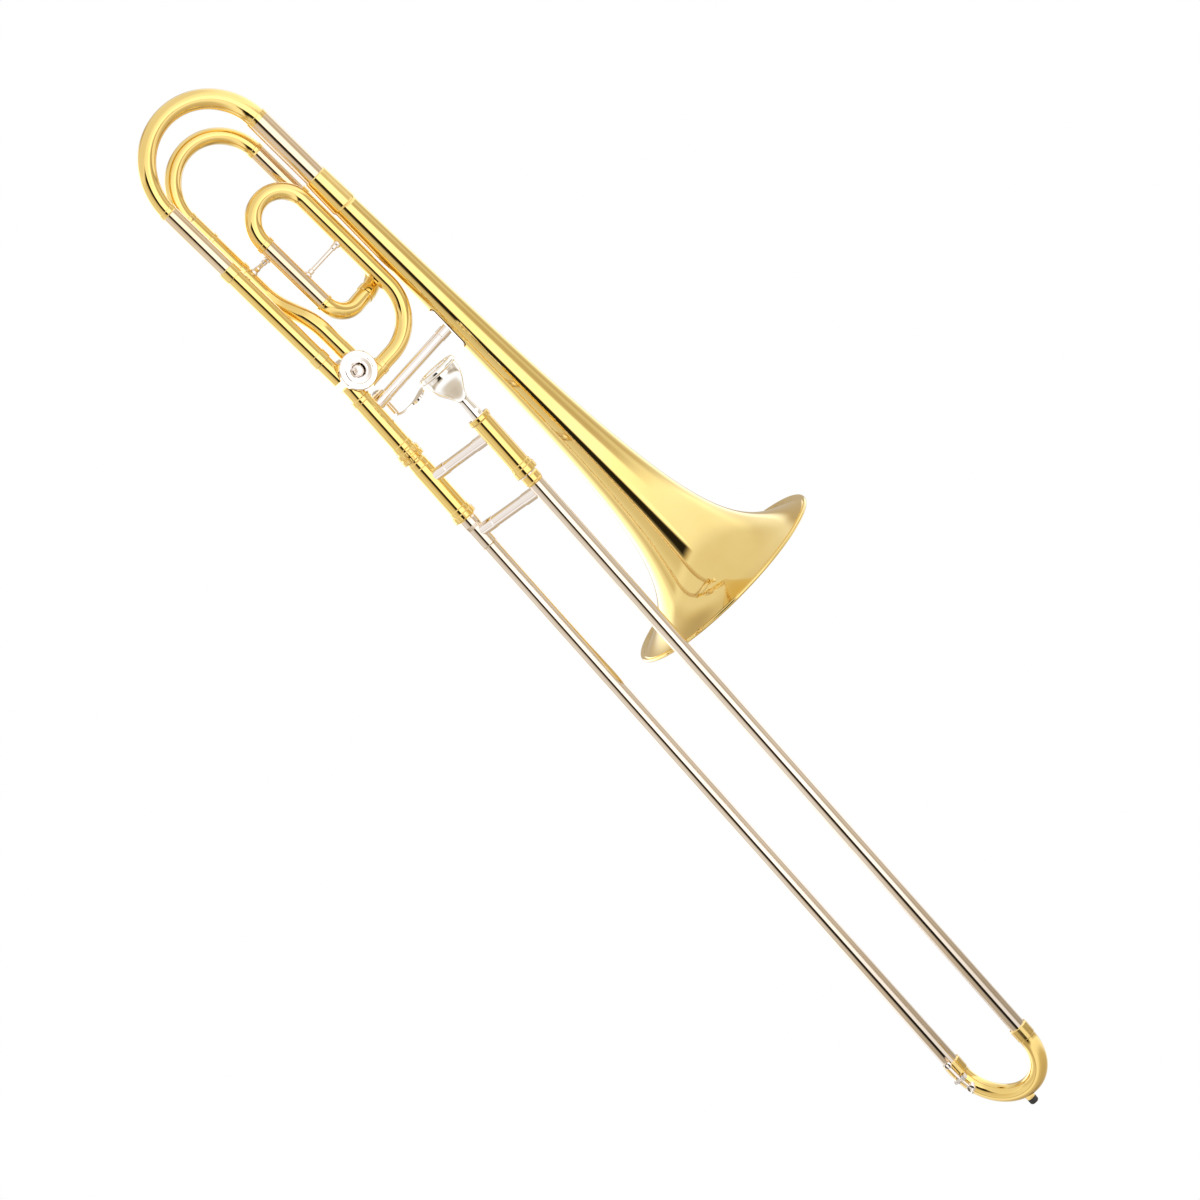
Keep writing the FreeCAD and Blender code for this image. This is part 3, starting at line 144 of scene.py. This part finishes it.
# ---------------------------------------------------------------- node helpers
class Nodes:
    """A short way to build one node tree."""

    def __init__(self, tree):
        self.tree = tree

    def add(self, kind, inputs=None, **settings):
        node = self.tree.nodes.new(kind)
        for key, value in settings.items():
            setattr(node, key, value)
        for key, value in (inputs or {}).items():
            self.put(node, key, value)
        return node

    def put(self, node, key, value):
        """Links a socket, or sets its value."""
        socket = node.inputs[key]
        if isinstance(value, bpy.types.NodeSocket):
            self.tree.links.new(value, socket)
        else:
            socket.default_value = value

    def maths(self, operation, first, second=0.0, third=0.0):
        node = self.add("ShaderNodeMath", {0: first, 1: second, 2: third}, operation=operation)
        return node.outputs[0]

    def band(self, value, low, high, to_low=0.0, to_high=1.0):
        """A smooth step of a value from low to high."""
        node = self.add("ShaderNodeMapRange",
                        {"Value": value, "From Min": low, "From Max": high,
                         "To Min": to_low, "To Max": to_high},
                        interpolation_type="SMOOTHSTEP")
        return node.outputs["Result"]

    def steps(self, value, stops):
        """A brightness that changes with a value from -1 to 1: stops holds (value, brightness)."""
        factor = self.maths("MULTIPLY_ADD", value, 0.5, 0.5)
        node = self.add("ShaderNodeValToRGB", {"Fac": factor})
        ramp = node.color_ramp
        ramp.interpolation = "EASE"
        while len(ramp.elements) < len(stops):
            ramp.elements.new(0.5)
        for element, (at, light) in zip(ramp.elements, stops):
            share = light / BRIGHTEST
            element.position = at * 0.5 + 0.5
            element.color = (share, share, share, 1.0)
        return self.maths("MULTIPLY", node.outputs["Color"], BRIGHTEST)

    def mix(self, factor, first, second):
        node = self.add("ShaderNodeMix", {"Factor": factor}, data_type="RGBA")
        self.put(node, 6, first)
        self.put(node, 7, second)
        return node.outputs[2]

    def noise(self, vector, scale, detail, roughness=0.5):
        node = self.add("ShaderNodeTexNoise",
                        {"Vector": vector, "Scale": scale, "Detail": detail,
                         "Roughness": roughness})
        return node.outputs["Fac"]

    def place(self, stretch=(1.0, 1.0, 1.0)):
        """Object coordinates, stretched."""
        coordinates = self.add("ShaderNodeTexCoord")
        mapping = self.add("ShaderNodeMapping",
                           {"Vector": coordinates.outputs["Object"], "Scale": stretch})
        return mapping.outputs["Vector"]

    def bump(self, strength, height):
        node = self.add("ShaderNodeBump",
                        {"Strength": strength, "Distance": BUMP_DEPTH, "Height": height})
        return node.outputs["Normal"]

    def surface(self, inputs):
        """A principled shader, joined to the material's output."""
        shader = self.add("ShaderNodeBsdfPrincipled", inputs)
        out = self.add("ShaderNodeOutputMaterial")
        self.put(out, "Surface", shader.outputs["BSDF"])


# ---------------------------------------------------------------- materials
def new_material(name):
    material = bpy.data.materials.new(name)
    material.use_nodes = True
    material.node_tree.nodes.clear()
    return material, Nodes(material.node_tree)


def metal(name, light, deep, roughness, lacquer=0.0):
    """Polished metal: two tones that drift into each other, faint wipe marks, handling haze."""
    material, tree = new_material(name)
    place = tree.place()
    drift = tree.noise(place, scale=14.0, detail=3.0)
    haze = tree.noise(place, scale=160.0, detail=5.0, roughness=0.65)
    wipes = tree.noise(tree.place(WIPE_STRETCH), scale=6.0, detail=4.0, roughness=0.6)
    colour = tree.mix(tree.band(drift, 0.35, 0.68), light + (1.0,), deep + (1.0,))
    haze_band = tree.band(haze, 0.45, 0.75, roughness * 0.75, roughness * 1.5)
    fine = tree.maths("MULTIPLY", wipes, roughness * 0.45)
    rough = tree.maths("ADD", haze_band, fine)
    tree.surface({"Base Color": colour, "Metallic": 1.0, "Roughness": rough,
                  "Normal": tree.bump(WIPE_BUMP, wipes), "Coat Weight": lacquer,
                  "Coat Roughness": COAT_ROUGHNESS, "Coat IOR": COAT_IOR})
    return material


def soft(name, light, deep, roughness, grain):
    """Cork or rubber: mottled colour and a fine grain."""
    material, tree = new_material(name)
    place = tree.place()
    mottle = tree.noise(place, scale=grain * 0.4, detail=4.0, roughness=0.6)
    pores = tree.noise(place, scale=grain, detail=3.0, roughness=0.7)
    colour = tree.mix(tree.band(mottle, 0.4, 0.65), light + (1.0,), deep + (1.0,))
    tree.surface({"Base Color": colour, "Roughness": roughness,
                  "Normal": tree.bump(GRAIN_BUMP, pores)})
    return material


MATERIALS = {
    "bell_brass": metal("bell_brass", (0.86, 0.655, 0.25), (0.82, 0.61, 0.21), 0.045, 0.35),
    "tube_brass": metal("tube_brass", (0.92, 0.68, 0.23), (0.87, 0.62, 0.18), 0.05, 1.0),
    "ferrule_brass": metal("ferrule_brass", (0.93, 0.70, 0.26), (0.87, 0.61, 0.19), 0.09, 0.8),
    "nickel": metal("nickel", (0.83, 0.68, 0.50), (0.79, 0.63, 0.44), 0.055),
    "slide_nickel": metal("slide_nickel", (0.83, 0.73, 0.63), (0.78, 0.68, 0.57), 0.055),
    "chrome_tube": metal("chrome_tube", (0.86, 0.86, 0.86), (0.82, 0.82, 0.82), 0.04),
    "plated_silver": metal("plated_silver", (0.94, 0.88, 0.84), (0.90, 0.83, 0.78), 0.08),
    "mouthpiece_silver": metal("mouthpiece_silver", (0.96, 0.94, 0.91), (0.93, 0.90, 0.87), 0.04),
    "steel": metal("steel", (0.70, 0.69, 0.68), (0.62, 0.61, 0.60), 0.20),
    "cork": soft("cork", (0.62, 0.45, 0.28), (0.42, 0.28, 0.16), 0.8, 1500.0),
    "rubber": soft("rubber", (0.03, 0.03, 0.03), (0.02, 0.02, 0.02), 0.55, 2500.0),
}

for part in frame["record"]["subparts"]:
    mesh = frame["nodes"][part["node"]].data
    mesh.materials.clear()
    mesh.materials.append(MATERIALS[part["material_slot"]])


# ---------------------------------------------------------------- turned pieces
def horn_radius(depth):
    """Bell's outer radius at a depth behind the rim, both in metres."""
    depth_mm = depth * 1000.0
    if depth_mm <= HORN_END_DEPTH:
        return HORN_SCALE / (depth_mm + HORN_OFFSET) ** HORN_POWER
    knee = horn_radius(HORN_END_DEPTH / 1000.0)
    slope = HORN_POWER * knee / (HORN_END_DEPTH + HORN_OFFSET)
    return knee - slope * (depth_mm - HORN_END_DEPTH)


def lathe(name, outline, origin, axis, side, turns):
    """A closed outline of (distance along axis, radius) turned about an axis."""
    other = axis.cross(side)
    count = len(outline)
    points = []
    for step in range(turns):
        angle = 2 * math.pi * step / turns
        out = side * math.cos(angle) + other * math.sin(angle)
        points += [origin + axis * along + out * radius for along, radius in outline]
    faces = []
    for step in range(turns):
        here = step * count
        there = (step + 1) % turns * count
        for row in range(count):
            following = (row + 1) % count
            faces.append((here + row, here + following, there + following, there + row))
    mesh = bpy.data.meshes.new(name)
    mesh.from_pydata([tuple(point) for point in points], [], faces)
    mesh.shade_smooth()
    piece = bpy.data.objects.new(name, mesh)
    bpy.context.scene.collection.objects.link(piece)
    return piece


def make_bell():
    """One seamless bell in place of the CAD model's three lengths of it."""
    outside = []
    inside = []
    length = RIM_U - TAIL_U - HORN_START_DEPTH
    for step in range(HORN_ROWS + 1):
        depth = HORN_START_DEPTH + length * (step / HORN_ROWS) ** HORN_CROWDING
        rise = horn_radius(depth + HORN_SLOPE_STEP) - horn_radius(depth - HORN_SLOPE_STEP)
        slope = rise / (2 * HORN_SLOPE_STEP)
        lean = math.sqrt(1 + slope * slope)
        radius = horn_radius(depth)
        outside.append((RIM_U - depth, radius))
        inside.append((RIM_U - depth - BELL_WALL * slope / lean, radius - BELL_WALL / lean))
    bead = []
    for step in range(BEAD_ROWS + 1):
        angle = math.radians(BEAD_START_DEG + BEAD_SWEEP_DEG * step / BEAD_ROWS)
        bead.append((RIM_U - BEAD_RADIUS + BEAD_RADIUS * math.cos(angle) * BEAD_SHRINK,
                     RIM_RADIUS - BEAD_RADIUS - BEAD_RADIUS * math.sin(angle) * BEAD_SHRINK))
    outline = outside[::-1] + bead[::-1] + inside
    origin = BELL_ORIGIN + W_AXIS * LEG_SPACING
    piece = lathe("bell_smooth", outline, origin, U_AXIS, W_AXIS, BELL_TURNS)
    piece.data.materials.append(MATERIALS["bell_brass"])
    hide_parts("bell_flare", "bell_throat", "bell_stem")
    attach(piece, "bell_section")


def eased(points, count):
    """A smooth run through points (Catmull-Rom), with count steps between neighbours."""
    run = []
    last = len(points) - 1
    for place in range(last):
        before = points[max(place - 1, 0)]
        start = points[place]
        end = points[place + 1]
        after = points[min(place + 2, last)]
        for step in range(count):
            t = step / count
            row = []
            for a, b, c, d in zip(before, start, end, after):
                row.append(0.5 * (2 * b + (c - a) * t + (2 * a - 5 * b + 4 * c - d) * t * t
                                  + (3 * b - a - 3 * c + d) * t ** 3))
            run.append(tuple(row))
    return run + [points[-1]]


def make_mouthpiece():
    """A smooth mouthpiece in place of the CAD model's run of short cones."""
    outline = eased(MOUTHPIECE_OUTSIDE, MOUTHPIECE_ROWS) + eased(MOUTHPIECE_INSIDE, MOUTHPIECE_ROWS)
    outline = [(along / 1000.0, radius / 1000.0) for along, radius in outline]
    piece = lathe("mouthpiece_smooth", outline, MOUTHPIECE_START, ALONG,
                  Vector((0.0, 0.0, 1.0)), MOUTHPIECE_TURNS)
    piece.data.materials.append(MATERIALS["mouthpiece_silver"])
    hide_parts("mouthpiece")
    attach(piece, "mouthpiece")


# ---------------------------------------------------------------- camera
def camera_axes():
    """Camera's right, up and back, in the row frame."""
    azimuth = math.radians(CAMERA_AZIMUTH)
    elevation = math.radians(CAMERA_ELEVATION)
    roll = math.radians(CAMERA_ROLL)
    back = Vector((math.sin(azimuth) * math.cos(elevation),
                   -math.cos(azimuth) * math.cos(elevation), math.sin(elevation)))
    right = Vector((math.cos(azimuth), math.sin(azimuth), 0.0))
    up = back.cross(right)
    rolled_right = right * math.cos(roll) + up * math.sin(roll)
    rolled_up = up * math.cos(roll) - right * math.sin(roll)
    return rolled_right, rolled_up, back


def make_camera():
    right, up, back = camera_axes()
    data = bpy.data.cameras.new("camera")
    data.lens = CAMERA_LENS_MM
    data.sensor_width = SENSOR_MM
    data.clip_end = CAMERA_CLIP_END
    camera = bpy.data.objects.new("camera", data)
    bpy.context.scene.collection.objects.link(camera)
    turn = Matrix((right, up, back)).transposed()
    place = Matrix.Translation(CAMERA_TARGET + back * CAMERA_DISTANCE)
    camera.matrix_world = place @ turn.to_4x4()
    bpy.context.scene.camera = camera


# ---------------------------------------------------------------- studio
def make_world():
    """A bright tent over a grey table with a thin dark gap between them, and two lit ends.

    Rays from the camera see plain white."""
    world = bpy.data.worlds.new("studio")
    bpy.context.scene.world = world
    world.use_nodes = True
    world.node_tree.nodes.clear()
    tree = Nodes(world.node_tree)
    _, _, back = camera_axes()
    over = (UPRIGHT - back * back.z).normalized()
    zenith = (over * ZENITH_OVER + back * ZENITH_BACK + ALONG * ZENITH_ALONG).normalized()
    direction = tree.add("ShaderNodeTexCoord").outputs["Generated"]

    def facing(axis):
        node = tree.add("ShaderNodeVectorMath", {0: direction, 1: tuple(axis)},
                        operation="DOT_PRODUCT")
        return node.outputs["Value"]

    height = facing(zenith)
    front = facing(back)
    sideways = facing(ALONG)

    # The tent above, the table below and the glow of the gap between them.
    tent = tree.maths("MULTIPLY", tree.band(height, *TENT_EDGE), tree.steps(front, TENT_LIGHT))
    tilted = tree.maths("MULTIPLY_ADD", front, TABLE_TILT, height)
    tilted = tree.maths("ADD", tilted, tree.band(sideways, *TABLE_RISE))
    table = tree.maths("MULTIPLY", tree.band(tilted, *TABLE_EDGE), tree.steps(front, TABLE_LIGHT))
    middle = tree.maths("ADD", tree.maths("ADD", tent, table), tree.band(front, *GAP_GLOW))

    # The two ends, with layers behind the instrument.
    behind = tree.band(front, *BEHIND_EDGE)
    layers = tree.maths("SUBTRACT", tree.steps(height, END_LAYERS), 1.0)
    layers = tree.maths("MULTIPLY_ADD", layers, behind, 1.0)
    ends = tree.maths("MULTIPLY", tree.steps(sideways, END_LIGHT), layers)
    left_place = tree.maths("SUBTRACT", sideways, tree.band(height, *LEFT_END_PLACE))
    left = tree.band(left_place, *LEFT_END_EDGE)
    right = tree.band(sideways, *RIGHT_END_EDGE)
    share = tree.maths("MAXIMUM", left, right)

    middle = tree.maths("MULTIPLY", middle, tree.maths("SUBTRACT", 1.0, share))
    middle = tree.maths("MULTIPLY", middle, tree.band(sideways, *CENTRE_FADE))
    strength = tree.maths("MULTIPLY_ADD", ends, share, middle)
    tint = tree.mix(tree.band(strength, *WARM_EDGE), WARM, WHITE)
    studio = tree.add("ShaderNodeBackground", {"Color": tint, "Strength": strength})
    plain = tree.add("ShaderNodeBackground", {"Color": WHITE, "Strength": 1.0})
    seen = tree.add("ShaderNodeLightPath")
    mixed = tree.add("ShaderNodeMixShader", {0: seen.outputs["Is Camera Ray"]})
    tree.put(mixed, 1, studio.outputs[0])
    tree.put(mixed, 2, plain.outputs[0])
    out = tree.add("ShaderNodeOutputWorld")
    tree.put(out, "Surface", mixed.outputs[0])


def make_floor():
    """A plain pale floor, left out of the metal's reflections."""
    material, tree = new_material("floor_pale")
    drift = tree.noise(tree.place(), scale=0.8, detail=2.0)
    tree.surface({"Base Color": tree.mix(drift, *FLOOR_TONES), "Roughness": 0.9})
    corners = [(-FLOOR_HALF, -FLOOR_HALF), (FLOOR_HALF, -FLOOR_HALF),
               (FLOOR_HALF, FLOOR_HALF), (-FLOOR_HALF, FLOOR_HALF)]
    mesh = bpy.data.meshes.new("floor")
    mesh.from_pydata([(x, y, FLOOR_Z) for x, y in corners], [], [(0, 1, 2, 3)])
    mesh.materials.append(material)
    floor = bpy.data.objects.new("floor", mesh)
    bpy.context.scene.collection.objects.link(floor)
    floor.visible_glossy = False


# ---------------------------------------------------------------- build
make_bell()
make_mouthpiece()
make_camera()
make_world()
make_floor()
bpy.context.scene.view_settings.view_transform = "Standard"
